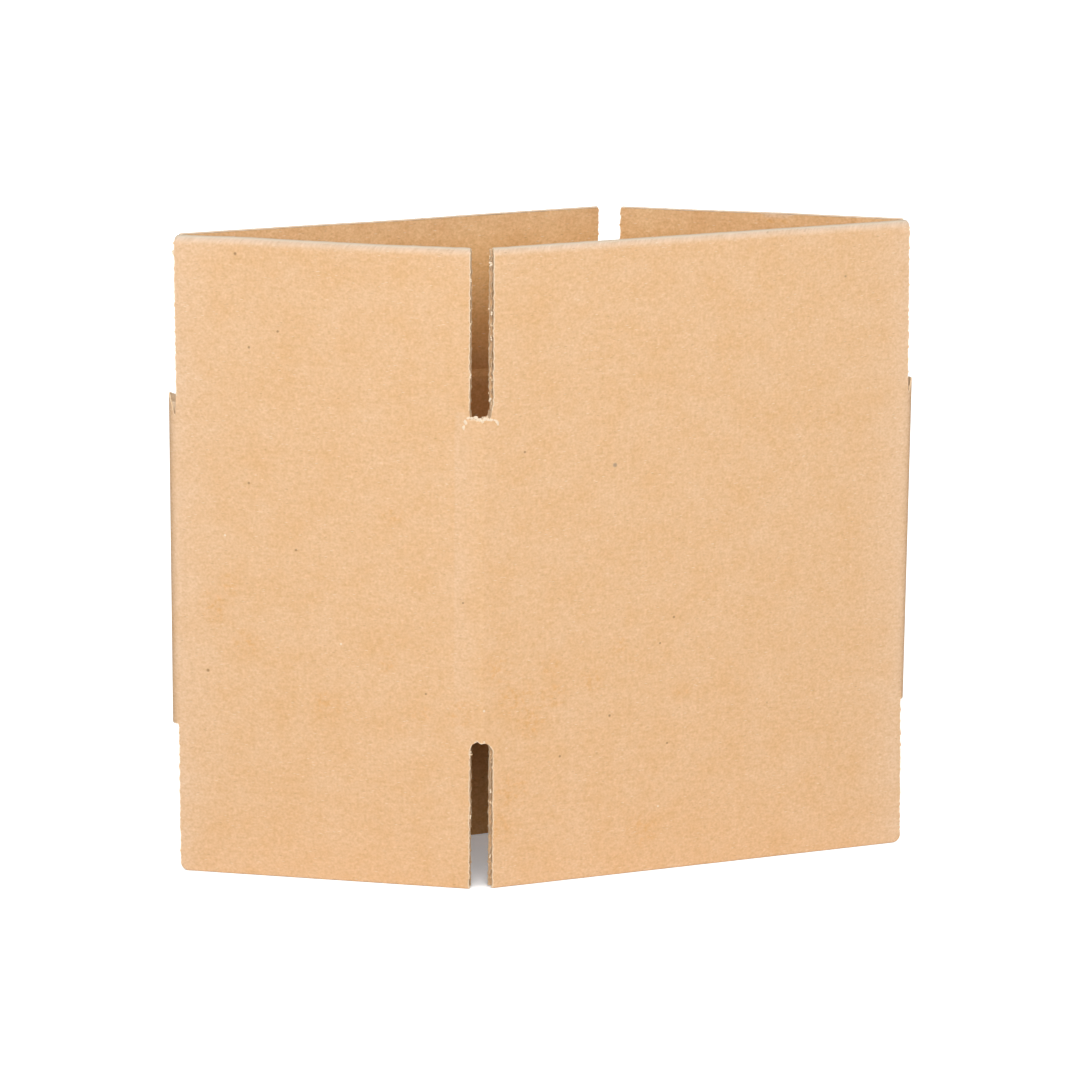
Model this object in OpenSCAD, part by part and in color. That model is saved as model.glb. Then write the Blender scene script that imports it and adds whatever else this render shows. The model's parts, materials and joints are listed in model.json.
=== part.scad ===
// Open shipping carton of single-wall corrugated board, standing on the edges of its bottom flaps.
// The blank is glued into a tube that is only partly opened from flat, so its plan is a slanted
// parallelogram, and all eight flaps stand in line with their panels.
// Each panel is measured between the corners of its inner face, and the board grows outwards.

/* [Tube] */
// Inside width of the two long panels, fold to fold
panel_long = 150.8; // [90:0.1:400]
// Inside width of the two short panels, fold to fold
panel_short = 102.2; // [60:0.1:300]
// Height of the tube, from its bottom crease to its top crease
tube_h = 114; // [80:0.5:300]
// Inside angle between the two front panels, where 90 is a box opened square
front_angle = 150; // [95:1:158]

/* [Flaps] */
// Length of the top flaps, from the crease to the cut edge
top_flap_h = 54.5; // [20:0.5:150]
// Length of the bottom flaps, from the crease to the cut edge
bottom_flap_h = 51.5; // [20:0.5:150]
// Width of the slots between neighbouring flaps, as cut in the flat blank
slot_w = 6.8; // [6:0.1:12]
// Clearance between a back flap's end and the front flap that it meets at a sharp fold
meeting_gap = 0.6; // [0.3:0.1:3]
// Amount by which the askew slot at the right fold leaves the front bottom flap longer, at its crease
askew_crease = 0.4; // [0:0.1:1]
// The same at that flap's cut edge
askew_edge = 1.6; // [0:0.1:2]
// Radius of a flap's two free corners
flap_corner_r = 0.8; // [0.4:0.1:6]
// Height of the arched end that the bottom slots have at the wide folds
arch_h = 4.4; // [1:0.1:8]
// Amount by which that arch closes each side of the slot at the crease
arch_w = 2; // [0.5:0.1:2.5]

/* [Board] */
// Thickness of the whole board
board_t = 3.4; // [2.6:0.1:5]
// Thickness of each of the two flat liners
liner_t = 0.45; // [0.3:0.05:0.7]
// Thickness of the fluted paper between the liners
medium_t = 0.4; // [0.25:0.05:0.6]
// Length of one flute, from crest to crest
flute_pitch = 6.6; // [5:0.1:9]
// Length of the flat crest that is glued to a liner
crest_w = 1.6; // [1:0.1:2.2]
// Place of the first outer crest of the flutes, counted from the panel's start fold
flute_start = 0.95; // [0:0.05:6.5]

/* [Creases] */
// Play between a flap and the tube along their crease
crease_gap = 0.3; // [0.2:0.05:0.8]
// Reach of the pressed zone on each side of a crease
crease_reach = 3.2; // [1.5:0.1:6]
// Depth of the pressed groove on the inside of the crease
groove_in = 0.7; // [0.2:0.05:1]
// Depth of the groove on the outside of the crease
groove_out = 0.15; // [0.1:0.05:0.6]
// Least distance from a panel's corners to the ends of its grooves
groove_margin = 0.5; // [0.3:0.1:2]
// Length of flap, from the crease, where the flutes are crushed shut
crushed_h = 4.5; // [2:0.1:8]

/* [Glued joint] */
// Width of the glue tab inside the back long panel
tab_w = 32; // [15:0.5:50]
// Thickness of the tab, which is crushed flat to take the glue
tab_t = 1.5; // [0.8:0.1:2.4]
// Slope of the tab's trimmed ends
tab_slope = 15; // [5:1:30]
// Length of tab beside its fold that keeps the tube's full height
tab_root = 2.5; // [1:0.1:6]
// Gap between the back panel's raw edge and the tab's fold
seam_gap = 1; // [0.4:0.1:1.6]

/* [Hidden] */
kraft = [0.84, 0.67, 0.49];
kraft_flap = [0.88, 0.71, 0.53];

// Heights of the two rings of creases, and of the whole carton
bottom_crease = bottom_flap_h;
top_crease = bottom_flap_h + tube_h;

// Turn of the board at the wide folds, front and back, and at the sharp folds, left and right
wide_turn = 180 - front_angle;
sharp_turn = front_angle;
arc_step = 15;
skim = 0.05;
overcut = 1;

// Corners of the inner face: front, right, back and left fold
front = [0, 0];
right = [panel_long, 0];
left = panel_short * unit(front_angle);
back = left + right;
// The tab lies inside the back long panel, so its fold is that much nearer
tab_fold = back - tab_t / sin(wide_turn) * unit(front_angle);
tab_end_x = tab_fold.x - tab_w;
seam_x = tab_fold.x - seam_gap;
// Middle of the plan's outer box, which is the part's origin
plan_middle = (left + right) / 2;

// A slot is centred on its crease in the flat blank. The outer liner keeps its length round a
// fold, so half of the fold's arc is lost from each side of the slot.
wide_inset = slot_w / 2 - board_t * wide_turn * PI / 360;
sharp_inset = slot_w / 2 - board_t * sharp_turn * PI / 360;
back_sharp_inset = max(sharp_inset, meeting_gap / sin(wide_turn));

// Each panel: start corner, direction, width, and the insets of its flaps at start and end
FRONT_RIGHT = [front, 0, panel_long, wide_inset, sharp_inset];
BACK_RIGHT = [right, front_angle, norm(tab_fold - right), back_sharp_inset, wide_inset];
BACK_LEFT = [back, 180, panel_long, wide_inset, back_sharp_inset];
FRONT_LEFT = [left, front_angle + 180, panel_short, sharp_inset, wide_inset];
PANELS = [FRONT_RIGHT, BACK_RIGHT, BACK_LEFT, FRONT_LEFT];

// Arches of the bottom slots stand at the wide folds only, at a panel's start or end
ARCH_AT_START = [arch_w, 0];
ARCH_AT_END = [0, arch_w];
NO_ARCH = [0, 0];
SQUARE = [0, 0];
ASKEW = [askew_crease, askew_edge];

function unit(angle) = [cos(angle), sin(angle)];

function arc(centre, r_start, r_end, from, to) =
    let (steps = ceil(abs(to - from) / arc_step))
    [for (i = [0:steps]) centre + (r_start + (r_end - r_start) * i / steps) * unit(from + (to - from) * i / steps)];

// Moves a child from a panel's own axes to its place: X along the panel, outside towards -Y
module on_panel(panel, height) {
    translate([panel[0].x - plan_middle.x, panel[0].y - plan_middle.y, height])
        rotate([0, 0, panel[1]])
            children();
}

// Section of the tube with its tab, seen from above
module tube_section() {
    difference() {
        polygon(concat(
            arc(front, board_t, board_t, front_angle + 90, 270),
            arc(right, board_t, board_t, 270, 270 + sharp_turn),
            arc(tab_fold, board_t, tab_t, front_angle - 90, 90),
            [[seam_x, back.y], [seam_x, back.y + board_t]],
            arc(left, board_t, board_t, 90, 90 + sharp_turn)
        ));
        polygon([
            front, right, tab_fold, [tab_end_x, back.y - tab_t], [tab_end_x, back.y], left
        ]);
    }
}

// Space above the tab's sloping upper end, with z measured from the top of the tab's fold
module tab_trim() {
    run = tab_w - tab_root + overcut;
    translate([tab_fold.x - tab_root, back.y, 0])
        rotate([90, 0, 0])
            linear_extrude(tab_t + skim)
                polygon([[0, overcut], [0, 0], [-run, -run * tan(tab_slope)], [-run, overcut]]);
}

// Grooves that the crease presses into the edge of a panel, below z = 0
module crease_grooves(panel) {
    begin = max(panel[3], groove_margin);
    end = panel[2] - max(panel[4], groove_margin);
    translate([begin, 0, 0])
        rotate([90, 0, 90])
            linear_extrude(end - begin) {
                polygon([[0, -crease_reach], [-groove_in, 0], [skim, 0], [skim, -crease_reach]]);
                polygon([
                    [-board_t, -crease_reach], [groove_out - board_t, 0],
                    [-board_t - skim, 0], [-board_t - skim, -crease_reach]
                ]);
            }
}

module carton_body() {
    base = bottom_crease + crease_gap / 2;
    rise = tube_h - crease_gap;
    color(kraft)
        difference() {
            translate([-plan_middle.x, -plan_middle.y, base])
                linear_extrude(rise)
                    tube_section();
            translate([-plan_middle.x, -plan_middle.y, base + rise])
                tab_trim();
            translate([-plan_middle.x, -plan_middle.y, base])
                mirror([0, 0, 1])
                    tab_trim();
            for (panel = PANELS) {
                on_panel(panel, top_crease) crease_grooves(panel);
                on_panel(panel, bottom_crease) mirror([0, 0, 1]) crease_grooves(panel);
            }
        }
}

// Face of a flap, with X along the panel and Y away from the crease. Its end side may be askew.
module flap_outline(panel, length, arches, skew) {
    begin = panel[3];
    end = panel[2] - panel[4];
    r = flap_corner_r;
    polygon(concat(
        arches[0] > 0 ? arch_side(begin, -1, arches[0]) : [[begin, 0]],
        arc([begin + r, length - r], r, r, 180, 90),
        arc([end + skew[1] - r, length - r], r, r, 90, 0),
        arches[1] > 0 ? reversed(arch_side(end, 1, arches[1])) : [[end + skew[0], 0]]
    ));
}

// Quarter of an ellipse that widens a flap's side towards its crease
function arch_side(x, side, width) =
    [for (a = [0:arc_step * 2:90]) [x + side * width * (1 - sin(a)), arch_h * (1 - cos(a))]];

function reversed(points) = [for (i = [len(points) - 1:-1:0]) points[i]];

// Thickness of a flap along its length, from the pressed crease to the cut edge
module flap_profile(length) {
    start = crease_gap / 2;
    polygon([
        [-groove_in, start], [0, crease_reach], [0, length],
        [-board_t, length], [-board_t, crease_reach], [groove_out - board_t, start]
    ]);
}

// Open channels of the flutes, above and below the wavy paper, along a panel of this width
module flute_channels(width) {
    rise = board_t - 2 * liner_t - medium_t;
    flank_run = flute_pitch / 2 - crest_w;
    flank = norm([flank_run, rise]);
    thinning = medium_t / 2 * (flank - flank_run) / rise;
    wide = (flute_pitch - crest_w) / 2 - thinning;
    narrow = crest_w / 2 - thinning;
    for (i = [-1:ceil(width / flute_pitch)]) {
        x = flute_start + i * flute_pitch;
        polygon([
            [x - wide, -liner_t], [x + wide, -liner_t],
            [x + narrow, liner_t + medium_t - board_t], [x - narrow, liner_t + medium_t - board_t]
        ]);
        half = x + flute_pitch / 2;
        polygon([
            [half - wide, liner_t - board_t], [half + wide, liner_t - board_t],
            [half + narrow, -liner_t - medium_t], [half - narrow, -liner_t - medium_t]
        ]);
    }
}

// A flap in its panel's axes, standing up from its crease at z = 0
module flap(panel, length, arches, skew) {
    difference() {
        intersection() {
            rotate([90, 0, 0])
                linear_extrude(board_t)
                    flap_outline(panel, length, arches, skew);
            translate([-board_t, 0, 0])
                rotate([90, 0, 90])
                    linear_extrude(panel[2] + 2 * board_t)
                        flap_profile(length);
        }
        translate([0, 0, crushed_h])
            linear_extrude(length)
                flute_channels(panel[2]);
    }
}

module top_flap(panel) {
    color(kraft_flap)
        on_panel(panel, top_crease)
            flap(panel, top_flap_h, NO_ARCH, SQUARE);
}

module bottom_flap(panel, arches, skew = SQUARE) {
    color(kraft_flap)
        on_panel(panel, bottom_crease)
            mirror([0, 0, 1])
                flap(panel, bottom_flap_h, arches, skew);
}

carton_body();
top_flap(FRONT_RIGHT);  // top_flap_front_right
top_flap(BACK_RIGHT);  // top_flap_back_right
top_flap(BACK_LEFT);  // top_flap_back_left
top_flap(FRONT_LEFT);  // top_flap_front_left
bottom_flap(FRONT_RIGHT, ARCH_AT_START, ASKEW);  // bottom_flap_front_right
bottom_flap(BACK_RIGHT, ARCH_AT_END);  // bottom_flap_back_right
bottom_flap(BACK_LEFT, ARCH_AT_START);  // bottom_flap_back_left
bottom_flap(FRONT_LEFT, ARCH_AT_END);  // bottom_flap_front_left
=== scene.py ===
"""Open shipping carton of brown corrugated board, dressed over its fixed frame.

The board is built flat, as the die-cut blank that it is, and then folded into the tube. In the
blank's own axes X runs along the blank, Z is up, and Y is 0 on the board's inner face and
negative towards its outer face. Every flap is made of its two liners and the fluted paper.
"""

import json
import math
import random

import bmesh
import bpy
from mathutils import Matrix, Vector, noise
from mathutils.geometry import intersect_line_line


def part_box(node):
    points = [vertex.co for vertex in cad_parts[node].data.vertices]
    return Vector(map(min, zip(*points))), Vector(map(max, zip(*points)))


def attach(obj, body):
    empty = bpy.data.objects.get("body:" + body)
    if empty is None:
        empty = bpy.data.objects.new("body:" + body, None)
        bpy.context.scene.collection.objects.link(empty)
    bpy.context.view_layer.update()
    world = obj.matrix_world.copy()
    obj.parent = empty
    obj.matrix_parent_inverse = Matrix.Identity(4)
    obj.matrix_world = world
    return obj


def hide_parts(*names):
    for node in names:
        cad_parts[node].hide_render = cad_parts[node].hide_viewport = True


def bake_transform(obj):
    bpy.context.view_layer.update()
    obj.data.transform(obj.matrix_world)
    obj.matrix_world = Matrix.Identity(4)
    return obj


MM = 0.001
UP = Vector((0, 0, 1))

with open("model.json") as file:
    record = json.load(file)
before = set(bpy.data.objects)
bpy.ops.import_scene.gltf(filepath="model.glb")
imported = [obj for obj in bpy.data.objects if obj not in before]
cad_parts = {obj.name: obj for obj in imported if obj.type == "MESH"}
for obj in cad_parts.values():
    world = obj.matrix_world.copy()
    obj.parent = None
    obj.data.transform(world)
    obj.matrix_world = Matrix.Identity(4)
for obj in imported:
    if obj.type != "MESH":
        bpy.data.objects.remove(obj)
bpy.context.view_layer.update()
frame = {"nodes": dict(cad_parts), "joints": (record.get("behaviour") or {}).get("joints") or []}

# The board: its whole thickness comes from the frame, its papers are typical of this grade
flap_low, flap_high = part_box("top_flap_front_right")
BOARD = flap_high.y - flap_low.y
LINER = 0.45 * MM
FLUTING = 0.4 * MM
FLUTE = 6.6 * MM
FLUTE_START = 0.95 * MM
OUTER_WASHBOARD = 0.02 * MM
INNER_WASHBOARD = 0.07 * MM

# The creases that the flaps turn on: narrow and shallow outside, drawn out to a hollow inside
CREASE_REACH = 3.2 * MM
GROOVE_OUT = 0.12 * MM
GROOVE_IN = 1.3 * MM
HOLLOW_TOP = 11.0 * MM
HOLLOW_DEEPEST = 0.8 * MM
HOLLOW_FOOT = -3.0 * MM
CRUSHED = 4.5 * MM

# The flaps' cut sides: ragged papers, with the fluted one torn back between the liners
CORNER = 0.4 * MM
ARCH_H = 4.4 * MM
KNIFE_TOOTH = 4.3 * MM
PINCH = 0.1 * MM
PINCH_REACH = 1.5 * MM
SWELL = 0.35 * MM
SWELL_REACH = 0.6 * MM
TORN_BACK = 1.2 * MM
SIDE_STOPS = [0, 0.15 * MM, 0.4 * MM, 1.0 * MM, 2.2 * MM]

# The rims, where the blade rolls the outer liner over the flutes and leaves the inner one lower
TOP_ROLL = 2.2 * MM
BOTTOM_ROLL = 0.5 * MM
ROLLED_FLAT = 0.2 * MM
RIM_RAGGED = 0.12 * MM

# The attribute "cut" is the distance from a cut; along rims torn fibres reach this much further,
# and on the top flaps' rolled rims their pale is partly a painted highlight
RIM_FRAY = 1.2
NO_CUT = 10.0 * MM

# Slot ends: height of board that follows their outline, the outline's own steps, and open flutes
END_REACH = 12.0 * MM
END_STEP = 0.3 * MM
OUTLINE_STEP = 0.45 * MM
OPEN_FLUTES = 3.0 * MM

# The glued joint at the back fold
TAB_W = 32.0 * MM
TAB_T = 1.5 * MM
TAB_ROOT = 2.5 * MM
TAB_SLOPE = math.radians(15)
SEAM_GAP = 1.0 * MM

# Spacing of the mesh along the flutes' pitch, up the board and over the creases
ACROSS = FLUTE / 4
UPWARD = 0.8 * MM
OVER_CREASE = 0.6 * MM
MERGED = 0.005 * MM
SHARP = math.radians(35)

# Places of the materials on every piece of board
OUTSIDE, INSIDE, RAW, EDGE = range(4)


# Colours and node helper


def linear(code):
    """The linear colour of an sRGB hex code such as "eec29c"."""
    parts = [int(code[i : i + 2], 16) / 255 for i in (0, 2, 4)]
    return [c / 12.92 if c <= 0.04045 else ((c + 0.055) / 1.055) ** 2.4 for c in parts] + [1.0]


def add(tree, kind, inputs=None, **settings):
    """Adds a node with its settings; an input takes a value or another node's output."""
    node = tree.nodes.new(kind)
    for name, value in settings.items():
        setattr(node, name, value)
    for name, value in (inputs or {}).items():
        if isinstance(value, bpy.types.NodeSocket):
            tree.links.new(value, node.inputs[name])
        else:
            node.inputs[name].default_value = value
    return node


def per(size):
    """Texture scale at which one cell of a pattern has this size."""
    return 1 / size


def mixed(tree, factor, colour, other):
    """A colour with this share of another one."""
    return add(
        tree, "ShaderNodeMix", {"Factor": factor, "A": colour, "B": other}, data_type="RGBA"
    ).outputs["Result"]


def ranged(tree, value, from_min, from_max, to_min, to_max):
    """A value moved from one range to another and held inside it."""
    return add(
        tree, "ShaderNodeMapRange",
        {"Value": value, "From Min": from_min, "From Max": from_max,
         "To Min": to_min, "To Max": to_max},
    ).outputs["Result"]


# Materials


# Grain weighs more on blue than on red, because the fibres differ in brownness more than in depth
GRAIN_TINT = (0.8, 1.05, 1.65)

# Sizes of the patterns in the pulp; its finest grain and fibres are as coarse as still shows
CLOUD = 14 * MM
FLOC_LENGTH = 2.3 * MM
FLOC_WIDTH = 1.7 * MM
GRAIN = 0.85 * MM
GRAIN_RELIEF = 0.06 * MM
FIBRE_LENGTH = 2.6 * MM
FIBRE_WIDTH = 0.5 * MM
BLOTCH_FLECK = 2.4 * MM
SPECK_SPACING = 22 * MM
TORN_FIBRE = 1.1 * MM
FRAYED_FROM = 0.12 * MM
FRAYED_TO = 0.75 * MM

PALE_FIBRE = "fff0da"
# Pale tint for paler paper and wear, and for the painted glare along the sharp folds and the
# painted highlight below the top flaps' rims
PALE_AND_HIGHLIGHT = "fdf0e4"
# Pale of torn fibres along cuts, partly a painted highlight on the top flaps' rolled rims
TORN_PALE_AND_HIGHLIGHT = "feecd2"
YELLOW_FLECK = "e2a763"
SMALL_SPECK = "7d5636"


def paper(name, base, warm, dark, grain, fibre, pale_marks=True, spots=None):
    """Recycled brown paper: cloudy pulp, fine grain, pale and dark fibres and a few specks.

    It is unbleached pulp pressed on a machine, so the eye sees a dull, even brown with a short
    fibrous grain and no gloss. With pale marks it is paler beside the front score line and inside
    near the rims, along the sharp folds by wear and a painted glare, below the top flaps' rims by a
    painted highlight, and along cuts by torn fibres, which on the rolled rims are partly a painted
    highlight. Spots are known marks.
    """
    material = bpy.data.materials.new(name)
    material.use_nodes = True
    tree = material.node_tree
    tree.nodes.clear()
    place = add(tree, "ShaderNodeUVMap", uv_map="blank").outputs["UV"]

    # Cloudy pulp, from patches of a few millimetres down to single fibres
    clouds = add(
        tree, "ShaderNodeTexNoise",
        {"Vector": place, "Scale": per(CLOUD), "Detail": 6, "Roughness": 0.74},
    ).outputs["Fac"]
    colour = mixed(tree, ranged(tree, clouds, 0.32, 0.68, 0.0, 1.0), linear(base), linear(warm))
    if spots is not None:
        colour = blotched(tree, place, colour)
    if pale_marks:
        colour = paled_and_highlit(tree, colour)
    laid = add(
        tree, "ShaderNodeMapping",
        {"Vector": place, "Scale": (per(FLOC_LENGTH), per(FLOC_WIDTH), 1)},
    ).outputs["Vector"]
    pulp = add(
        tree, "ShaderNodeTexNoise", {"Vector": laid, "Scale": 1.0, "Detail": 3, "Roughness": 0.75}
    ).outputs["Fac"]
    fine = add(
        tree, "ShaderNodeTexNoise",
        {"Vector": place, "Scale": per(GRAIN), "Detail": 0.5, "Roughness": 0.7},
    ).outputs["Fac"]
    for layer, share in ((pulp, 0.92), (fine, 0.58)):
        low = [1 - share * grain * tint for tint in GRAIN_TINT] + [1]
        high = [1 + share * grain * tint for tint in GRAIN_TINT] + [1]
        depth = mixed(tree, ranged(tree, layer, 0.25, 0.75, 0.0, 1.0), low, high)
        colour = add(
            tree, "ShaderNodeVectorMath", {0: colour, 1: depth}, operation="MULTIPLY"
        ).outputs["Vector"]
    colour = fibres(tree, place, colour, dark, fibre)
    colour = specks(tree, place, colour, spots or [])
    if pale_marks:
        colour = frayed_and_rim_highlight(tree, place, colour)

    relief = add(
        tree, "ShaderNodeBump", {"Height": fine, "Strength": 0.25, "Distance": GRAIN_RELIEF}
    ).outputs["Normal"]
    shader = add(
        tree, "ShaderNodeBsdfPrincipled",
        {"Base Color": colour, "Roughness": 0.93, "Normal": relief, "Specular IOR Level": 0.1},
    )
    add(tree, "ShaderNodeOutputMaterial", {"Surface": shader.outputs["BSDF"]})
    return material


def blotched(tree, place, colour):
    """Clusters of yellow-brown flecks where the board's own attribute asks for them."""
    strength = add(tree, "ShaderNodeAttribute", attribute_name="blotch").outputs["Fac"]
    ragged = add(
        tree, "ShaderNodeTexNoise",
        {"Vector": place, "Scale": per(BLOTCH_FLECK), "Detail": 3, "Roughness": 0.7},
    ).outputs["Fac"]
    flecks = ranged(tree, ragged, 0.5, 0.62, 0.08, 0.45)
    factor = add(
        tree, "ShaderNodeMath", {0: strength, 1: flecks}, operation="MULTIPLY"
    ).outputs["Value"]
    return mixed(tree, factor, colour, linear(YELLOW_FLECK))


def paled_and_highlit(tree, colour):
    """Paler where the board's attribute asks: beside the front score line, along the sharp folds by
    wear and a painted glare, below the top flaps' rims by a painted highlight, and inside towards
    the rims.
    """
    pale_marks = add(tree, "ShaderNodeAttribute", attribute_name="rub").outputs["Fac"]
    return mixed(tree, pale_marks, colour, linear(PALE_AND_HIGHLIGHT))


def fibres(tree, place, colour, dark, amount):
    """Short fibres lying both ways across the paper, pale ones and dark ones, over a colour."""
    for turn, seed, tint, share in (
        (0.5, 3.1, PALE_FIBRE, amount),
        (2.2, 7.7, PALE_FIBRE, amount),
        (0.2, 5.3, dark, amount * 0.8),
        (2.9, 9.4, dark, amount * 0.6),
    ):
        turned = add(
            tree, "ShaderNodeMapping",
            {"Vector": place, "Location": (seed, seed, 0), "Rotation": (0, 0, turn),
             "Scale": (per(FIBRE_LENGTH), per(FIBRE_WIDTH), 1)},
        ).outputs["Vector"]
        cell = add(
            tree, "ShaderNodeTexVoronoi", {"Vector": turned, "Scale": 1.0, "Randomness": 1.0}
        )
        thin = ranged(tree, cell.outputs["Distance"], 0.12, 0.26, 1.0, 0.0)
        chosen = add(
            tree, "ShaderNodeSeparateColor", {"Color": cell.outputs["Color"]}
        ).outputs["Red"]
        factor = add(
            tree, "ShaderNodeMath", {0: thin, 1: ranged(tree, chosen, 0.86, 1.0, 0.0, share)},
            operation="MULTIPLY",
        ).outputs["Value"]
        colour = mixed(tree, factor, colour, linear(tint))
    return colour


def specks(tree, place, colour, spots):
    """Bits of bark and of print in the recycled pulp: some anywhere, and some at known spots."""
    cell = add(
        tree, "ShaderNodeTexVoronoi",
        {"Vector": place, "Scale": per(SPECK_SPACING), "Randomness": 1.0},
    )
    dot = ranged(tree, cell.outputs["Distance"], 0.013, 0.03, 0.6, 0.0)
    colour = mixed(tree, dot, colour, linear(SMALL_SPECK))
    for centre, radius, tint in spots:
        away = add(
            tree, "ShaderNodeVectorMath", {0: place, 1: centre}, operation="DISTANCE"
        ).outputs["Value"]
        inside = ranged(tree, away, 0.6 * radius, 1.4 * radius, 0.6, 0.0)
        colour = mixed(tree, inside, colour, linear(tint))
    return colour


def frayed_and_rim_highlight(tree, place, colour):
    """A ragged pale line of torn fibres along a cut, which on the top flaps' rolled rims is partly
    a painted highlight.
    """
    cut = add(tree, "ShaderNodeAttribute", attribute_name="cut").outputs["Fac"]
    ragged = add(
        tree, "ShaderNodeTexNoise",
        {"Vector": place, "Scale": per(TORN_FIBRE), "Detail": 3, "Roughness": 0.7},
    ).outputs["Fac"]
    reach = ranged(tree, ragged, 0.3, 0.7, FRAYED_FROM, FRAYED_TO)
    line = ranged(tree, cut, reach, 0.0, 0.0, 0.8)
    return mixed(tree, line, colour, linear(TORN_PALE_AND_HIGHLIGHT))


def make_materials():
    """The finishes of the board, in the order of their places on every piece."""
    outer_spots = [
        ((PANEL_BEGIN[panel.name] + (x * MM) + BOARD, z * MM + BOARD, 0), radius * MM, tint)
        for panel, x, z, radius, tint in SPECKS
    ]
    return [
        # Test liner, calendered on its outer side: even sandy brown
        paper("kraft_outside", "eac299", "e6b989", "9a7350", 0.11, 0.5, spots=outer_spots),
        # The inner liner is the same paper's rougher side, a little yellower
        paper("kraft_inside", "f1c389", "e4af70", "8d6642", 0.15, 0.6),
        # Sides of the papers that face the flutes, never pressed smooth
        paper("kraft_raw", "ecc99d", "e0b98a", "8d6642", 0.1, 0.4),
        # Faces of the cuts, a little paler than the paper because their fibres are broken
        paper("cut_edge", "fbe2c0", "f2d0a6", "b98f6c", 0.1, 0.3, pale_marks=False),
    ]


# Sheets of paper in the flat


def spaced(stops, step):
    """Grid lines through every stop, evenly spaced between stops, no further apart than step."""
    lines = [stops[0]]
    for low, high in zip(stops, stops[1:]):
        count = max(1, math.ceil((high - low) / step - 0.001))
        lines += [low + (high - low) * i / count for i in range(1, count + 1)]
    return lines


def ruled_sheet(columns, rows):
    """A flat sheet that faces -Y, with a line of vertices at each of these columns and rows."""
    bm = bmesh.new()
    across, upward = len(columns) - 1, len(rows) - 1
    bmesh.ops.create_grid(bm, x_segments=across, y_segments=upward, size=0.5)
    for v in bm.verts:
        column = round((v.co.x + 0.5) * across)
        row = round((v.co.y + 0.5) * upward)
        v.co = Vector((columns[column], 0, rows[row]))
    bm.normal_update()
    return bm


def put_in_order(bm):
    """Sorts a mesh by place, because the operators leave it in another order on each run."""
    placed = sorted(bm.verts, key=lambda v: v.co.to_tuple())
    rank = {v: i for i, v in enumerate(placed)}
    bm.verts.sort(key=lambda v: rank[v])
    for elements in (bm.edges, bm.faces):
        placed = sorted(elements, key=lambda element: sorted(rank[v] for v in element.verts))
        its_rank = {element: i for i, element in enumerate(placed)}
        elements.sort(key=lambda element: its_rank[element])


def thickened(bm, thickness):
    """Gives a sheet that is still flat its thickness, away from the side that it faces."""
    bm.normal_update()
    bmesh.ops.solidify(bm, geom=bm.faces[:], thickness=thickness)
    put_in_order(bm)


def paint(bm, outer, inner):
    """Gives faces that look outwards and inwards their finishes, and the others the cut edge's."""
    bm.normal_update()
    for face in bm.faces:
        if face.normal.y < -0.5:
            face.material_index = outer
        elif face.normal.y > 0.5:
            face.material_index = inner
        else:
            face.material_index = EDGE


def joined(parts):
    """One mesh of several, which are used up."""
    whole = bmesh.new()
    for part in parts:
        mesh = bpy.data.meshes.new("part")
        part.to_mesh(mesh)
        part.free()
        whole.from_mesh(mesh)
        bpy.data.meshes.remove(mesh)
    return whole


def write_blank_map(bm, s_start, height_of):
    """The map "blank" in metres along the blank and up it; the board's depth shifts both."""
    layer = bm.loops.layers.uv.new("blank")
    for face in bm.faces:
        for loop in face.loops:
            x, y, h = loop.vert.co
            loop[layer].uv = (s_start + x - y, height_of(h) - y)


def write_marks_and_highlight(bm, s_start, height_of):
    """Attributes from 0 to 1: "blotch" for the yellow flecks, and one for paler paper, painted
    glare and painted highlight.
    """
    near = [
        (PANEL_BEGIN[panel.name] + x * MM, z * MM, radius * MM)
        for panel, x, z, radius in BLOTCHES
    ]
    blotch = bm.verts.layers.float.new("blotch")
    rub = bm.verts.layers.float.new("rub")
    for v in bm.verts:
        s, z = s_start + v.co.x, height_of(v.co.z)
        strength = 0.0
        for s_centre, z_centre, radius in near:
            away = math.hypot(s - s_centre, z - z_centre) / radius
            strength = max(strength, smoothstep(1.5 - away))
        v[blotch] = strength
        # Outer liner: paler by the folds, with painted glare, and a painted highlight below the top
        # rims; inner liner: paler towards the rims
        v[rub] = fold_pale_and_glare_at(s, z) + rim_highlight_at(z) if v.co.y < -BOARD / 4 else inner_paler_near_rim_at(z)


def finished(bm, name, materials):
    """Turns a mesh into a smooth-shaded object whose cut edges stay sharp."""
    bm.normal_update()
    mesh = bpy.data.meshes.new(name)
    bm.to_mesh(mesh)
    bm.free()
    for material in materials:
        mesh.materials.append(material)
    mesh.polygons.foreach_set("use_smooth", [True] * len(mesh.polygons))
    mesh.set_sharp_from_angle(angle=SHARP)
    obj = bpy.data.objects.new(name, mesh)
    bpy.context.scene.collection.objects.link(obj)
    return obj


def rough(x, y, z, size, seed=0.0):
    """Smooth noise from -1 to 1 with this cell size, and another one for each seed."""
    place = (x / size + seed * 17.3, y / size - seed * 5.1, z / size + seed * 3.7)
    return noise.noise(Vector(place))


def smoothstep(value):
    """Eases from 0 to 1 as the value goes from 0 to 1, and stays there past both."""
    value = min(1.0, max(0.0, value))
    return value * value * (3 - 2 * value)


def along(points, share):
    """Height of a line through these points, with their places rising from 0 to 1."""
    for (x0, y0), (x1, y1) in zip(points, points[1:]):
        if share <= x1:
            return y0 + (y1 - y0) * (share - x0) / (x1 - x0)
    return points[-1][1]


# Panels of the tube, placed by the frame's hinges


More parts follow.
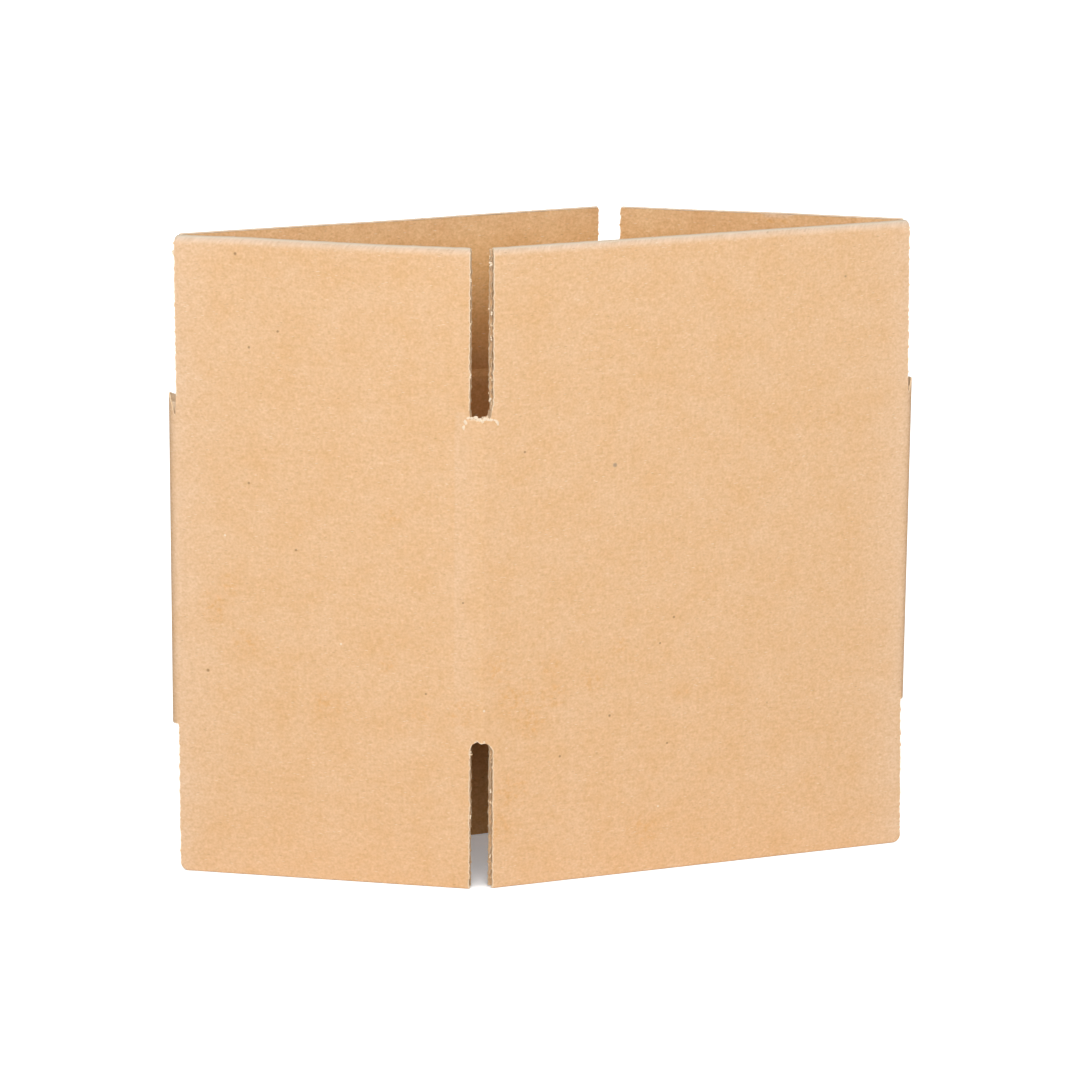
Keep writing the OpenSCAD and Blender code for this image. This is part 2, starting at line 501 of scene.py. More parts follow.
class Panel:
    """One panel with its two flaps. X runs along it from its start fold, seen from outside."""

    def __init__(self, name):
        hinge = {joint["child"]: joint for joint in frame["joints"]}
        top = hinge["top_flap_" + name]
        bottom = hinge["bottom_flap_" + name]
        self.name = name
        self.direction = Vector(top["axis"]).normalized()
        self.outward = self.direction.cross(UP)
        self.on_inner_face = Vector(top["pos_m"]) - self.outward * BOARD
        self.on_inner_face.z = 0
        self.top_crease = top["pos_m"][2]
        self.bottom_crease = bottom["pos_m"][2]
        self.top_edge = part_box("top_flap_" + name)[1].z
        self.bottom_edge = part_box("bottom_flap_" + name)[0].z

    def meets(self, other, offset=0.0):
        """Where this panel's inner face meets another's, moved inwards by an offset."""
        point = other.on_inner_face - other.outward * offset
        return intersect_line_line(
            self.on_inner_face, self.on_inner_face + self.direction, point, point + other.direction
        )[0]

    def set_width(self, start, end):
        """Takes the two folds, and measures where the flaps' cut sides stand between them."""
        self.start = start
        self.width = (end - start).length
        verts = frame["nodes"]["top_flap_" + self.name].data.vertices
        reach = [(v.co - start).dot(self.direction) for v in verts]
        self.flap_begin = min(reach)
        self.flap_end = max(reach)

    def place(self, x, y):
        """Where a point of the blank lies, along the panel and into it from its inner face."""
        return self.start + self.direction * x - self.outward * y


BACK_LEFT, FRONT_LEFT, FRONT_RIGHT, BACK_RIGHT = PANELS = [
    Panel(name) for name in ("back_left", "front_left", "front_right", "back_right")
]
back = BACK_RIGHT.meets(BACK_LEFT)
left = BACK_LEFT.meets(FRONT_LEFT)
front = FRONT_LEFT.meets(FRONT_RIGHT)
right = FRONT_RIGHT.meets(BACK_RIGHT)
tab_fold = BACK_RIGHT.meets(BACK_LEFT, TAB_T)
BACK_LEFT.set_width(back, left)
FRONT_LEFT.set_width(left, front)
FRONT_RIGHT.set_width(front, right)
BACK_RIGHT.set_width(right, tab_fold)
TOP_CREASE = FRONT_RIGHT.top_crease
BOTTOM_CREASE = FRONT_RIGHT.bottom_crease
SEAM_X = (tab_fold - back).dot(BACK_LEFT.direction) + SEAM_GAP

# Marks on the outer faces, in mm along the panel and above the floor, with a radius
BLOTCHES = [
    (FRONT_RIGHT, 5, 77, 5.0), (FRONT_RIGHT, 11, 66, 6.5), (FRONT_RIGHT, 17, 58, 5.5),
    (FRONT_RIGHT, 25, 66, 4.5), (FRONT_RIGHT, 24, 76, 3.5), (FRONT_RIGHT, 38, 70, 4.0),
    (FRONT_RIGHT, 48, 82, 3.0), (FRONT_RIGHT, 57, 15, 5.5), (FRONT_RIGHT, 71, 62, 2.6),
    (FRONT_RIGHT, 10, 34, 6.0), (FRONT_RIGHT, 5, 22, 4.5), (FRONT_LEFT, 17, 102, 3.4),
    (FRONT_LEFT, 23, 82, 4.2), (FRONT_LEFT, 12, 94, 5.0), (FRONT_LEFT, 73, 129, 3.2),
    (FRONT_LEFT, 50, 62, 5.0), (FRONT_LEFT, 71, 78, 3.4), (FRONT_LEFT, 83, 60, 3.4),
    (FRONT_LEFT, 96, 62, 4.5),
]
BARK, INK, PALE_CHIP = "8a6038", "8f8073", "fff3e2"
SPECKS = [
    (FRONT_LEFT, 34.2, 189.3, 0.4, BARK), (FRONT_LEFT, 24.4, 183.4, 0.4, BARK),
    (FRONT_LEFT, 24.3, 137.5, 0.4, BARK), (FRONT_LEFT, 40.2, 115.3, 0.4, BARK),
    (FRONT_LEFT, 9.7, 71.7, 0.5, BARK), (FRONT_LEFT, 84.3, 67.9, 0.35, BARK),
    (FRONT_LEFT, 96.8, 100.2, 0.35, BARK), (FRONT_RIGHT, 45.8, 144.0, 0.7, INK),
    (FRONT_RIGHT, 13.9, 151.0, 0.4, BARK), (FRONT_RIGHT, 2.7, 37.1, 0.4, BARK),
    (FRONT_RIGHT, 67.7, 89.4, 0.4, BARK), (FRONT_RIGHT, 62.8, 80.7, 0.35, BARK),
    (FRONT_RIGHT, 27.2, 44.4, 0.4, BARK), (FRONT_RIGHT, 65.9, 45.1, 0.35, BARK),
    (FRONT_LEFT, 55.4, 83.6, 0.35, PALE_CHIP), (FRONT_LEFT, 16.0, 119.1, 0.35, PALE_CHIP),
    (FRONT_RIGHT, 62.9, 22.9, 0.35, PALE_CHIP), (FRONT_RIGHT, 0.1, 63.0, 0.4, PALE_CHIP),
]


def fold_place(corner, outward, turn, thinned=1.0):
    """Place function of a fold: the outer face runs round the inner corner as an arc."""

    def place(x, y):
        share = x / (BOARD * turn)
        depth = y * (1 + (thinned - 1) * share)
        return corner + Matrix.Rotation(turn * share, 3, "Z") @ outward * -depth

    return place


def tab_place(x, y):
    """The glue tab's place function: along the inner side of the back left panel, pressed thin."""
    return tab_fold + BACK_LEFT.direction * x - BACK_LEFT.outward * (y * TAB_T / BOARD)


def lay_out_blank():
    """The blank's stretches in order, each [begin, end, place function], and each panel's begin."""
    stretches = []
    begins = {}
    s = 0.0
    for panel, following, corner in (
        (BACK_LEFT, FRONT_LEFT, left),
        (FRONT_LEFT, FRONT_RIGHT, front),
        (FRONT_RIGHT, BACK_RIGHT, right),
        (BACK_RIGHT, BACK_LEFT, tab_fold),
    ):
        first = SEAM_X if panel is BACK_LEFT else 0.0
        begins[panel.name] = s - first
        end = s + panel.width - first
        stretches.append((s, end, s - first, panel.place))
        turn = panel.direction.angle(following.direction)
        thinned = TAB_T / BOARD if panel is BACK_RIGHT else 1.0
        arc = BOARD * turn
        stretches.append((end, end + arc, end, fold_place(corner, panel.outward, turn, thinned)))
        s = end + arc
    stretches.append((s, s + TAB_W, s, tab_place))
    return stretches, begins


STRETCHES, PANEL_BEGIN = lay_out_blank()


def on_tube(s, y):
    """Place on the folded tube of a point of the blank."""
    for begin, end, zero, place in STRETCHES:
        if s <= end + 0.01 * MM:
            return place(s - zero, y)
    return place(s - zero, y)


# Paler along the folds: the front one beside its score line, more so higher up, and the sharp ones
# on both sides by wear and a painted glare
FRONT_SCORE = PANEL_BEGIN["front_left"] + FRONT_LEFT.width - 8.8 * MM
SCORE_W = 0.8 * MM
SCORE_D = 0.07 * MM
RUB_W = 9.0 * MM
# Reach of the painted highlight below the top flaps' rims, and of the paler inside near them
RIM_HIGHLIGHT_REACH = 3.2 * MM
INNER_PALE_REACH = 20.0 * MM
SHARP_FOLDS = [PANEL_BEGIN["front_left"], PANEL_BEGIN["front_right"] + FRONT_RIGHT.width]


def fold_pale_and_glare_at(s, z):
    """How much paler the outer liner is at a place of the blank, from 0 to 1: beside the front
    score line, and along the sharp folds by wear and a painted glare.
    """
    into = (s - FRONT_SCORE) / RUB_W
    pale_marks = 0.0
    if BOTTOM_CREASE < z < TOP_CREASE:
        height = (z - BOTTOM_CREASE) / (TOP_CREASE - BOTTOM_CREASE)
        pale_marks = 0.11 * (0.45 + 0.55 * height) * smoothstep(into * 8) * max(0.0, 1 - into)
    # The sharp folds: some wear and a painted glare that fades over about 7 mm
    away = min(abs(s - fold) for fold in SHARP_FOLDS)
    return max(pale_marks, 0.13 * math.exp(-away / (7.0 * MM)))


def rim_highlight_at(z):
    """What it adds below the top flaps' rims: a painted highlight, where light from above falls on
    the rolled outer liner.
    """
    return 0.4 * smoothstep((z - FRONT_RIGHT.top_edge) / RIM_HIGHLIGHT_REACH + 1)


def inner_paler_near_rim_at(z):
    """How much paler the inner liner is towards the top flaps' rims."""
    return 0.12 * smoothstep((z - FRONT_RIGHT.top_edge) / INNER_PALE_REACH + 1)


def score_dent(s):
    """Depth of the line that the scoring wheel left beside the front fold."""
    return SCORE_D * math.exp(-(((s - FRONT_SCORE) / SCORE_W) ** 2))


# The tube


def tab_height(s, z):
    """Draws the rows of the glue tab in between its trimmed, sloping ends."""
    into = s - (STRETCHES[-1][0] + TAB_ROOT)
    if into <= 0:
        return z
    middle = (TOP_CREASE + BOTTOM_CREASE) / 2
    half = (TOP_CREASE - BOTTOM_CREASE) / 2
    return middle + (z - middle) * (half - into * math.tan(TAB_SLOPE)) / half


# How far each slot's end is torn past its crease, in mm, along the slot in the blank's direction
PLAIN_END = [(0, 0.2), (1, 0.2)]
TOP_SLOT_ENDS = [
    PLAIN_END,
    [(0, 0.8), (0.12, 0.2), (0.5, -0.6), (0.62, -0.8), (0.8, 2.4), (0.93, 5.8), (1, 5.8)],
    [(0, 2.6), (0.3, 2.4), (0.5, 2.6), (0.57, 3.5), (0.65, 2.5), (0.9, 2.4), (1, 1.8)],
    [(0, 4.4), (0.1, 4.2), (0.25, 1.0), (0.34, 0.4), (1, 0.3)],
    PLAIN_END,
]
BOTTOM_SLOT_ENDS = [
    PLAIN_END,
    [(0, 0.6), (0.5, 0.6), (1, 0.8)],
    [(0, 0.2), (0.25, 0.9), (0.45, 0.3), (1, 0.1)],
    [(0, 0.8), (1, 0.6)],
    PLAIN_END,
]

# Torn paper beside the front slots' ends: mm along the panel and above the floor, mm long, turn
TEARS = [
    (FRONT_LEFT, 97.4, 162.0, 1.7, 115), (FRONT_LEFT, 96.8, 160.2, 1.7, 85),
    (FRONT_LEFT, 98.3, 163.4, 1.3, 40), (FRONT_LEFT, 99.4, 163.5, 1.2, 10),
    (FRONT_LEFT, 100.8, 163.7, 1.6, 20), (FRONT_LEFT, 101.5, 163.1, 1.4, -15),
    (FRONT_LEFT, 102.3, 163.0, 1.2, 30), (FRONT_RIGHT, -1.0, 162.6, 1.3, -20),
    (FRONT_RIGHT, 0.0, 163.3, 1.6, 15), (FRONT_RIGHT, 1.0, 163.0, 1.5, -25),
    (FRONT_RIGHT, 2.2, 162.8, 1.3, 10), (FRONT_RIGHT, 3.4, 162.6, 1.2, -20),
    (FRONT_RIGHT, 4.2, 161.7, 1.7, -65), (FRONT_RIGHT, -2.1, 52.4, 0.7, -30),
    (FRONT_RIGHT, 0.2, 52.1, 0.8, -40),
]


def slots_between(zones, ends):
    """The slots between the flaps, [begin, end, outline], with a stretch past the blank's ends."""
    blank_end = STRETCHES[-1][1]
    edges = [-1.0] + [s for zone in zones for s in zone] + [blank_end + 1.0]
    return list(zip(edges[0::2], edges[1::2], ends))


def slot_depth(s, slots, seed):
    """How far a slot's end reaches past its crease at a place of the blank."""
    for begin, end, outline in slots:
        if begin <= s <= end:
            inside = min(s - begin, end - s)
            ragged = 0.45 * rough(s, 0, 0, 1.3 * MM, seed) + 0.3 * rough(s, 0, 0, 0.6 * MM, seed)
            depth = along(outline, (s - begin) / (end - begin)) + ragged
            return depth * MM * smoothstep(inside / END_STEP)
    return 0.0


def tear_flakes():
    """Small tongues of torn paper that lie on the outer liner, in the flat blank."""
    rng = random.Random(4)
    bm = bmesh.new()
    for panel, x, z, length, turn in TEARS:
        place = Matrix.Translation((PANEL_BEGIN[panel.name] + x * MM, -BOARD - 0.05 * MM, z * MM))
        place = place @ Matrix.Rotation(math.radians(-turn), 4, "Y")
        flake(bm, place, (length * 0.5, 0.22, rng.uniform(0.28, 0.4) * length))
    bm.verts.layers.float.new("cut")
    for face in bm.faces:
        face.material_index = OUTSIDE
    return bm


def flake(bm, place, size):
    """A crumb of torn paper, with its three half sizes in mm."""
    made = bmesh.ops.create_icosphere(bm, subdivisions=2, radius=1.0)
    for v in made["verts"]:
        v.co *= 1 + 0.6 * rough(*v.co, 0.7, place.translation.x / MM)
    place = place @ Matrix.Diagonal([half * MM for half in size] + [1])
    bmesh.ops.transform(bm, matrix=place, verts=made["verts"])


def carton_tube(materials):
    """Four panels and the glue tab in one sheet, cut back under each flap to its crease strip."""
    top_zones, bottom_zones = [], []
    for panel in PANELS:
        for top, zones in ((True, top_zones), (False, bottom_zones)):
            begin, end = FlapShape(panel, top).sides(0, 0)
            zones.append((PANEL_BEGIN[panel.name] + begin, PANEL_BEGIN[panel.name] + end))
    top_slots = slots_between(top_zones, TOP_SLOT_ENDS)
    bottom_slots = slots_between(bottom_zones, BOTTOM_SLOT_ENDS)
    columns = tube_columns(top_slots[1:-1] + bottom_slots[1:-1])
    high_seam = TOP_CREASE - CREASE_REACH
    low_seam = BOTTOM_CREASE + CREASE_REACH
    rows = spaced([BOTTOM_CREASE + stop for stop in SIDE_STOPS] + [low_seam], UPWARD)[:-1]
    rows += spaced([low_seam, high_seam], 2 * UPWARD)[:-1]
    rows += spaced([high_seam] + [TOP_CREASE - stop for stop in reversed(SIDE_STOPS)], UPWARD)
    bm = ruled_sheet(columns, rows)
    under_flaps = [
        face for face in bm.faces
        if in_zone(face, top_zones, high_seam, TOP_CREASE)
        or in_zone(face, bottom_zones, BOTTOM_CREASE, low_seam)
    ]
    bmesh.ops.delete(bm, geom=under_flaps, context="FACES")
    thickened(bm, BOARD)
    cut = bm.verts.layers.float.new("cut")
    for v in bm.verts:
        s, into, z = v.co
        v[cut] = min(TOP_CREASE - z, z - BOTTOM_CREASE) / RIM_FRAY
        torn = smoothstep((z - TOP_CREASE) / END_REACH + 1) * slot_depth(s, top_slots, 1.0)
        torn -= smoothstep((BOTTOM_CREASE - z) / END_REACH + 1) * slot_depth(s, bottom_slots, 2.0)
        v.co = Vector((s, into + score_dent(s) - BOARD, tab_height(s, z - torn)))
    paint(bm, OUTSIDE, INSIDE)
    open_flutes(bm, top_slots[1:-1], -OPEN_FLUTES)
    open_flutes(bm, bottom_slots[1:-1], OPEN_FLUTES)
    put_in_order(bm)
    bm = joined([bm, tear_flakes()])
    write_blank_map(bm, 0.0, lambda z: z)
    write_marks_and_highlight(bm, 0.0, lambda z: z)
    for v in bm.verts:
        s, y, z = v.co
        v.co = on_tube(s, y) + UP * z
    bmesh.ops.remove_doubles(bm, verts=bm.verts[:], dist=MERGED)
    put_in_order(bm)
    tube = finished(bm, "carton_tube", materials)
    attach(tube, "carton")
    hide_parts("carton_body")


def open_flutes(bm, slots, depth):
    """Opens the board between its liners along the slots' ends, down or up by this depth."""
    middle = (TOP_CREASE + BOTTOM_CREASE) / 2
    ends = []
    for face in bm.faces:
        centre = face.calc_center_median()
        if face.material_index == EDGE and (centre.z - middle) * depth < 0:
            if any(begin + END_STEP < centre.x < end - END_STEP for begin, end, _ in slots):
                ends.append(face)
    edges = dict.fromkeys(edge for face in ends for edge in face.edges)
    verts = dict.fromkeys(v for face in ends for v in face.verts)
    geom = ends + list(edges) + list(verts)
    for y in (-LINER, LINER - BOARD):
        geom = bmesh.ops.bisect_plane(bm, geom=geom, plane_co=(0, y, 0), plane_no=(0, 1, 0))["geom"]
    between = [
        face for face in geom
        if isinstance(face, bmesh.types.BMFace)
        and LINER - BOARD < face.calc_center_median().y < -LINER
    ]
    made = bmesh.ops.extrude_face_region(bm, geom=between)["geom"]
    deep = [v for v in made if isinstance(v, bmesh.types.BMVert)]
    bmesh.ops.translate(bm, verts=deep, vec=(0, 0, depth))
    for face in {face for v in deep for face in v.link_faces}:
        face.material_index = RAW
    left_over = [face for face in between if face.is_valid]
    bmesh.ops.delete(bm, geom=left_over, context="FACES_ONLY")


def tube_columns(slots):
    """Grid lines along the blank: through every fold, and close together across the slots."""
    stops = [place[0] for place in STRETCHES] + [STRETCHES[-1][1]]
    stops += [FRONT_SCORE + SCORE_W * i for i in (-2, -1, 0, 1, 2)]
    for begin, end, _ in slots:
        stops += [begin, begin + END_STEP, end - END_STEP, end]
        stops += spaced([begin + END_STEP, end - END_STEP], OUTLINE_STEP)
    stops.sort()
    kept = [s for i, s in enumerate(stops) if i == 0 or s - stops[i - 1] > 0.02 * MM]
    return spaced(kept, ACROSS)


def in_zone(face, zones, low, high):
    """True if a face of the blank lies inside one of these stretches, between two heights."""
    middle = face.calc_center_median()
    return low < middle.z < high and any(begin < middle.x < end for begin, end in zones)


# The flaps


# Sides that are off the slots' even width, in mm: at the crease and at the rim, for begin and end
SIDE_SHIFTS = {
    "top_flap_front_left": ((0.8, 0.6), (-1.0, -1.0)),
    "top_flap_front_right": ((-0.2, -0.2), (-0.2, -1.3)),
    "top_flap_back_right": ((0.0, 0.0), (0.5, 0.5)),
    "bottom_flap_front_left": ((0.4, 0.5), (-0.5, -0.5)),
    "bottom_flap_front_right": ((0.4, 0.4), (0.4, 1.6)),
}
# Widths in mm that the arched ends of the bottom slots add at a flap's begin and end
FLARES = {
    "bottom_flap_front_left": (0.0, 1.5),
    "bottom_flap_front_right": (2.3, 0.0),
    "bottom_flap_back_right": (0.0, 2.0),
    "bottom_flap_back_left": (2.0, 0.0),
}
# How far the outer liner is torn back past the inner one at a flap's begin, in mm
OUTER_TORN = {"top_flap_front_right": 0.6, "bottom_flap_front_right": 0.5}
# Free corners that are worn rounder than the others, in mm
WORN_CORNERS = {
    "top_flap_front_left": (1.1, 0.4),
    "top_flap_front_right": (0.4, 0.8),
    "bottom_flap_front_left": (2.6, 0.4),
    "bottom_flap_front_right": (0.4, 2.2),
}
# Gentle waves of the top flaps' rims: place along the flap from 0 to 1, and mm outwards
RIM_WAVES = {
    "top_flap_front_left": [(0.22, -1.3), (0.7, 0.7)],
    "top_flap_back_left": [(0.5, -1.0)],
    "top_flap_back_right": [(0.45, 0.9)],
}
# Tufts of torn paper on the cut sides: at the begin (0) or end (1), mm above the crease, mm out
TUFTS = {
    "top_flap_front_right": [(0, 49.4, 0.9), (0, 33.0, 0.5), (0, 24.5, 0.4), (0, 4.0, 0.6)],
    "top_flap_front_left": [(1, 44.0, 0.4), (1, 12.0, 0.4), (0, 49.0, 0.6)],
    "bottom_flap_front_right": [(0, 17.0, 0.5), (0, 40.0, 0.4)],
    "bottom_flap_front_left": [(1, 26.0, 0.4), (1, 3.5, 0.5)],
}


def arch(h):
    """Share of the flare that is left at a height above the crease: a quarter of an ellipse."""
    rise = min(1.0, max(0.0, 1 - h / ARCH_H))
    return 1 - math.sqrt(1 - rise * rise)


class FlapShape:
    """Outline and bow of one flap in its panel's axes, with h counted from its crease."""

    def __init__(self, panel, top):
        self.panel = panel
        self.top = top
        self.name = ("top_flap_" if top else "bottom_flap_") + panel.name
        self.length = (
            panel.top_edge - TOP_CREASE if top else BOTTOM_CREASE - panel.bottom_edge
        )
        self.seed = PANELS.index(panel) + (0.5 if top else 0.0)
        self.shifts = SIDE_SHIFTS.get(self.name, ((0.0, 0.0), (0.0, 0.0)))
        self.flare = FLARES.get(self.name, (0.0, 0.0))
        corners = WORN_CORNERS.get(self.name, (CORNER / MM, CORNER / MM))
        self.corners = [radius * MM for radius in corners]
        self.rolled = TOP_ROLL if top else BOTTOM_ROLL

    def knife_mark(self, h, seed):
        """In-and-out of a slotted side, from the teeth of the slotting knife."""
        if h <= 0:
            return 0.0
        tooth = (0.5 + 0.5 * math.cos(2 * math.pi * h / KNIFE_TOOTH + 2 * seed)) ** 8
        ragged = rough(seed * 9, 0, h, 1.2 * MM, seed) + 0.5 * rough(seed, 0, h, 4.0 * MM, seed)
        spikes = max(0.0, rough(seed * 5, 0, h, 0.8 * MM, seed + 0.5) - 0.25)
        return smoothstep(h / CREASE_REACH) * (0.25 * tooth + 0.2 * ragged + 0.5 * spikes) * MM

    def sides(self, h, seed):
        """The flap's two cut sides at a height, with the knife's marks."""
        share = max(0.0, h) / self.length
        shifts = [at_crease + (at_rim - at_crease) * share for at_crease, at_rim in self.shifts]
        begin = self.panel.flap_begin + (shifts[0] - self.flare[0] * arch(h)) * MM
        end = self.panel.flap_end + (shifts[1] + self.flare[1] * arch(h)) * MM
        return begin - self.knife_mark(h, seed + 1), end + self.knife_mark(h, seed + 2)

    def rim_drop(self, x, begin, end, seed):
        """How far the rim stands below the flap's full length."""
        drop = 0.08 * MM * (1 + rough(x, 0, 0, 2.0 * MM, seed + 3))
        for inside, corner in ((x - begin, self.corners[0]), (end - x, self.corners[1])):
            if inside < corner:
                run = corner - max(0.0, inside)
                drop += corner - math.sqrt(corner * corner - run * run)
        return drop

    def near_rim(self, h):
        """Share of the rim's own outline at a height: 1 at the rim and 0 well below it."""
        return smoothstep((h - self.length) / (3 * max(self.corners + [1.1 * MM])) + 1)

    def torn_back(self, h, seed):
        """How far the fluted paper stops short of a cut side."""
        if h <= 0:
            return 0.0
        ragged = 0.5 + 1.1 * rough(0, seed, h, 2.0 * MM, seed)
        ragged += 0.5 * rough(0, seed, h, 0.7 * MM, seed)
        return TORN_BACK * smoothstep(h / CREASE_REACH) * max(0.0, ragged)

    def bow(self, x, h):
        """Gentle waviness of the flap out of its plane, none at the crease."""
        if h <= 0:
            return 0.0
        share = (x - self.panel.flap_begin) / (self.panel.flap_end - self.panel.flap_begin)
        waves = RIM_WAVES.get(self.name, [])
        rim = sum(amount * math.exp(-(((share - at) / 0.16) ** 2)) for at, amount in waves)
        return rim * MM * min(1.0, h / self.length) ** 1.5

    def over_rim(self, x, h, into, seed):
        """Height and depth of a point inside the outer liner, which rolls inwards at the rim."""
        start = self.length - self.rolled
        if h <= start:
            return h, into
        angle = min((h - start) / self.rolled, math.pi / 2)
        flat = h - start - angle * self.rolled
        flat *= 1 + 0.9 * rough(x, 0, 0, 1.1 * MM, seed + 8)
        radius = self.rolled - into
        return start + radius * math.sin(angle), self.rolled - radius * math.cos(angle) + flat

    def below_rim(self, x, paper_kind, seed):
        """How far the inner liner and the fluted paper end below the rim."""
        ragged = RIM_RAGGED * (1 + rough(x, 0, 0, 1.2 * MM, seed + 7))
        if paper_kind == "inner":
            return 0.12 * self.rolled + ragged
        crest = 0.5 + 0.5 * math.cos(2 * math.pi * (x - FLUTE_START) / FLUTE)
        return self.rolled * (0.2 + 0.4 * smoothstep(1.6 * crest)) + ragged

    def shaped(self, bm, depth, seed, paper_kind):
        """Fits a flat sheet to the outline, as the outer, inner or fluted paper.

        The liners are thicker beside a side cut, where fibres stand up.
        """
        cut = bm.verts.layers.float.new("cut")
        low, high = self.panel.flap_begin, self.panel.flap_end
        # On the top flaps' rolled rims the pale starts 60 degrees round the roll: torn fibres at
        # the cut, and partly a painted highlight on the roll's top
        pale_from = self.length + (math.pi / 3 - 1) * self.rolled
        rolled_over = self.top and paper_kind == "outer"
        for v in bm.verts:
            u, into, h = v.co
            begin, end = self.sides(min(h, self.length), seed)
            if paper_kind == "outer":
                begin += OUTER_TORN.get(self.name, 0.0) * MM * smoothstep(h / CREASE_REACH)
            if paper_kind == "fluting":
                begin += self.torn_back(h, seed + 4)
                end -= self.torn_back(h, seed + 5)
            x = begin + (u - low) / (high - low) * (end - begin)
            from_side = min(x - begin, end - x) if h > 0 else NO_CUT
            z, y = self.over_rim(x, h, into, seed) if paper_kind == "outer" else (h, into)
            drop = self.rim_drop(x, begin, end, seed)
            if paper_kind != "outer":
                drop += self.below_rim(x, paper_kind, seed)
            z -= drop * self.near_rim(h)
            from_rim = max(0.0, pale_from - h) / RIM_FRAY if rolled_over else NO_CUT
            v[cut] = min(from_side, from_rim)
            y += depth(x, h)
            pinch = PINCH * smoothstep(1 - from_side / PINCH_REACH)
            y += (-BOARD / 2 - y) * pinch / (BOARD / 2)
            if paper_kind != "fluting":
                y += into / LINER * SWELL * max(0.0, 1 - from_side / SWELL_REACH) ** 2
            v.co = Vector((x, y - self.bow(x, h), z))


def groove(h):
    """Share of the crease's full depth on the outer face."""
    return smoothstep(1 - abs(h) / CREASE_REACH)


def inner_hollow(h):
    """Depth of the crease on the inner face: a slow hollow on the flap, and a short step back."""
    end = HOLLOW_TOP if h > HOLLOW_DEEPEST else HOLLOW_FOOT
    return GROOVE_IN * max(0.0, (end - h) / (end - HOLLOW_DEEPEST)) ** 2


def ripple(x, h):
    """Share, from 0 to 1, by which a liner sinks between the flutes that hold it at x = 0."""
    fade = smoothstep((h - CREASE_REACH) / CRUSHED)
    return fade * (1 - math.cos(2 * math.pi * x / FLUTE)) / 2


def outer_liner_depth(x, h):
    """Depth of the outer liner's outer face, which is nearly flat."""
    return -BOARD + GROOVE_OUT * groove(h) + OUTER_WASHBOARD * ripple(x - FLUTE_START, h)


def inner_liner_depth(x, h):
    """Depth of the inner liner's inner face, with the flutes showing through as a washboard."""
    return -inner_hollow(h) - INNER_WASHBOARD * ripple(x - FLUTE_START - FLUTE / 2, h)


def fluting_depth(x, h):
    """Depth of the fluted paper's outer side, a wave that the crease presses flat."""
    inner = -inner_hollow(h) - LINER
    outer = -BOARD + GROOVE_OUT * groove(h) + LINER
    swing = (inner - outer - FLUTING) / 2
    crushed = 0.35 + 0.65 * smoothstep(h / CRUSHED)
    wave = math.cos(2 * math.pi * (x - FLUTE_START) / FLUTE)
    return (inner + outer) / 2 - swing * crushed * wave - FLUTING / 2


def torn_bits(shape, bits):
    """Torn paper along the cut sides: small flakes and standing fibres, and the larger tufts."""
    rng = random.Random(round(10 * shape.seed) + 7)
    bm = bmesh.new()
    for i in range(bits):
        h = rng.uniform(CREASE_REACH, shape.length - 1.5 * MM)
        begin, end = shape.sides(h, shape.seed)
        at_start = rng.random() < 0.5
        x = begin + 0.1 * MM if at_start else end - 0.1 * MM
        y = -rng.choice((rng.uniform(0.04, 0.3), rng.uniform(0.6, 0.95))) * BOARD
        turn = Matrix.Rotation(rng.uniform(0, 2 * math.pi), 4, "Z")
        turn = turn @ Matrix.Rotation(rng.uniform(0, math.pi), 4, "X")
        place = Matrix.Translation((x, y - shape.bow(x, h), h)) @ turn
        if i % 3:
            bmesh.ops.create_cone(
                bm, cap_ends=True, segments=3, radius1=0.07 * MM, radius2=0.0,
                depth=rng.uniform(0.6, 1.4) * MM, matrix=place,
            )
        else:
            size = [rng.uniform(0.08, 0.14), rng.uniform(0.15, 0.3), rng.uniform(0.2, 0.5)]
            flake(bm, place, size)
    for face in bm.faces:
        face.material_index = EDGE
    for at_end, height, out in TUFTS.get(shape.name, []):
        begin, end = shape.sides(height * MM, shape.seed)
        x = end + 0.4 * out * MM if at_end else begin - 0.4 * out * MM
        for step in (-0.3, 0.35):
            y = -BOARD * rng.uniform(0.75, 0.95)
            place = Matrix.Translation((x, y, (height + step) * MM))
            place = place @ Matrix.Rotation(rng.uniform(-0.7, 0.7), 4, "Y")
            flake(bm, place, (0.7 * out, 0.2, 0.35))
    bm.verts.layers.float.new("cut")
    return bm


